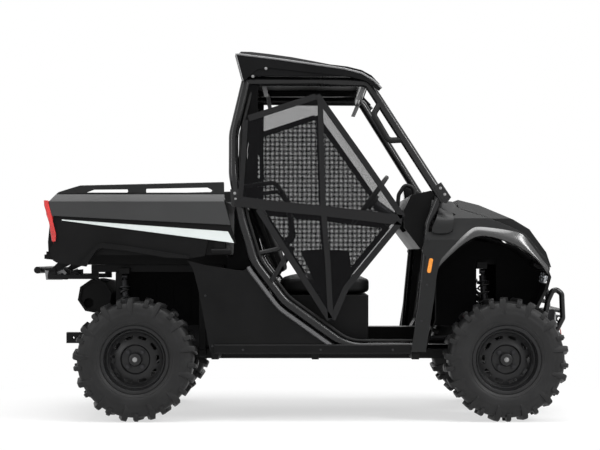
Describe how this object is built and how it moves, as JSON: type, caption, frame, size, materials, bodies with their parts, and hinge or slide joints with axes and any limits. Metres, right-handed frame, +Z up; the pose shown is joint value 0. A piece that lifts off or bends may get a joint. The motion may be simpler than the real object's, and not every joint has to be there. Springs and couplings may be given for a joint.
{
  "type": "side by side utility vehicle",
  "caption": "Off-road two-seat utility vehicle with a roll cage, roof, side nets, tipping cargo bed and steered front wheels.",
  "frame": {"origin": "centre of the bounding box's bottom, on the ground below the vehicle", "axes": "+X forward along the vehicle, +Y to its left, +Z up"},
  "size_m": [3.102, 1.56, 2.068],
  "materials": {
    "frame_paint": "satin black",
    "cage_paint": "semi-gloss black",
    "black_plastic": "moulded, fine grain",
    "roof_plastic": "moulded, fine grain",
    "grey_plastic": "satin metallic grey",
    "light_grey_plastic": "satin metallic grey",
    "silver_stripe": "satin silver",
    "lamp_clear": "clear lens",
    "lamp_amber": "amber lens",
    "lamp_red": "red lens",
    "dark_steel": "satin",
    "seat_vinyl": "grained vinyl",
    "black_rubber": "soft grip",
    "net_fabric": "open mesh with webbing",
    "cast_metal": "cast",
    "spring_paint": "gloss black",
    "muffler_steel": "dull, heat-stained",
    "strap_fabric": "woven webbing",
    "wheel_paint": "semi-gloss black",
    "tyre_rubber": "moulded rubber"
  },
  "bodies": {
    "chassis": {"frame": "frame_paint", "cross_members": "frame_paint", "frame_posts": "frame_paint", "arm_mounts": "frame_paint", "floor": "black_plastic", "cab_cage": "cage_paint", "roof": "roof_plastic", "side_panels": "black_plastic", "front_fenders": "grey_plastic", "inner_wells": "black_plastic", "front_fascia": "black_plastic", "headlamps": "lamp_clear", "side_markers": "lamp_amber", "dash": "black_plastic", "steering_column": "dark_steel", "controls": "dark_steel", "seat_base": "black_plastic", "seat_cushions": "seat_vinyl", "seat_backs": "seat_vinyl", "hip_bars": "cage_paint", "grab_handle": "black_rubber", "side_nets": "net_fabric", "engine_block": "cast_metal", "radiator": "dark_steel", "final_drives": "cast_metal", "half_shafts": "dark_steel", "suspension_arms": "frame_paint", "rear_uprights": "cast_metal", "shock_bodies": "dark_steel", "shock_springs": "spring_paint", "muffler": "muffler_steel", "hitch": "frame_paint", "rear_bar": "frame_paint", "front_guard": "cage_paint", "winch": "dark_steel", "hook_strap": "strap_fabric"},
    "bed": {"bed_box": "black_plastic", "bed_panels": "light_grey_plastic", "bed_stripes": "silver_stripe", "bed_rails": "grey_plastic", "bed_grips": "black_plastic", "tail_lamps": "lamp_red"},
    "tailgate": {"tailgate": "black_plastic"},
    "hood": {"hood": "grey_plastic"},
    "knuckle_right": {"knuckle_right": "cast_metal"},
    "knuckle_left": {"knuckle_left": "cast_metal"},
    "steering_wheel": {"steering_wheel": "black_rubber"},
    "tie_rods": {"tie_rods": "dark_steel"},
    "wheel_front_right": {"rim_front_right": "wheel_paint", "disc_front_right": "wheel_paint", "tyre_front_right": "tyre_rubber"},
    "wheel_front_left": {"rim_front_left": "wheel_paint", "disc_front_left": "wheel_paint", "tyre_front_left": "tyre_rubber"},
    "wheel_rear_right": {"rim_rear_right": "wheel_paint", "disc_rear_right": "wheel_paint", "tyre_rear_right": "tyre_rubber"},
    "wheel_rear_left": {"rim_rear_left": "wheel_paint", "disc_rear_left": "wheel_paint", "tyre_rear_left": "tyre_rubber"}
  },
  "joints": [
    {"name": "knuckle_left_steer", "type": "hinge", "parent": "chassis", "child": "knuckle_left", "pos_m": [1.131, 0.59, 0.345], "axis": [0, 0, 1], "range_deg": [-30, 30]},
    {"name": "knuckle_right_steer", "type": "hinge", "parent": "chassis", "child": "knuckle_right", "pos_m": [1.131, -0.59, 0.345], "axis": [0, 0, 1], "range_deg": [-30.5, 30.5]},
    {"name": "steering_wheel_turn", "type": "hinge", "parent": "chassis", "child": "steering_wheel", "pos_m": [0.413, 0.35, 1.262], "axis": [-0.809, 0, 0.5878], "range_deg": [-318, 318]},
    {"name": "rack_slide", "type": "slide", "parent": "chassis", "child": "tie_rods", "axis": [0, 1, 0], "range_m": [-0.051, 0.051]},
    {"name": "bed_tip", "type": "hinge", "parent": "chassis", "child": "bed", "pos_m": [-1.446, 0, 0.833], "axis": [0, -1, 0], "range_deg": [0, 40]},
    {"name": "tailgate_drop", "type": "hinge", "parent": "bed", "child": "tailgate", "pos_m": [-1.431, 0, 0.916], "axis": [0, -1, 0], "range_deg": [0, 90]},
    {"name": "hood_lift", "type": "hinge", "parent": "chassis", "child": "hood", "pos_m": [0.859, 0, 1.196], "axis": [0, -1, 0], "range_deg": [0, 50]},
    {"name": "front_right_wheel_spin", "type": "hinge", "parent": "knuckle_right", "child": "wheel_front_right", "pos_m": [1.131, -0.665, 0.345], "axis": [0, 1, 0], "continuous": true},
    {"name": "front_left_wheel_spin", "type": "hinge", "parent": "knuckle_left", "child": "wheel_front_left", "pos_m": [1.131, 0.665, 0.345], "axis": [0, 1, 0], "continuous": true},
    {"name": "rear_right_wheel_spin", "type": "hinge", "parent": "chassis", "child": "wheel_rear_right", "pos_m": [-0.929, -0.665, 0.345], "axis": [0, 1, 0], "continuous": true},
    {"name": "rear_left_wheel_spin", "type": "hinge", "parent": "chassis", "child": "wheel_rear_left", "pos_m": [-0.929, 0.665, 0.345], "axis": [0, 1, 0], "continuous": true}
  ],
  "couplings": [
    {"joint": "knuckle_right_steer", "follows": "knuckle_left_steer", "ratio": 1},
    {"joint": "steering_wheel_turn", "follows": "knuckle_left_steer", "ratio": 10.5},
    {"joint": "rack_slide", "follows": "knuckle_left_steer", "m_per_rad": 0.09549}
  ]
}
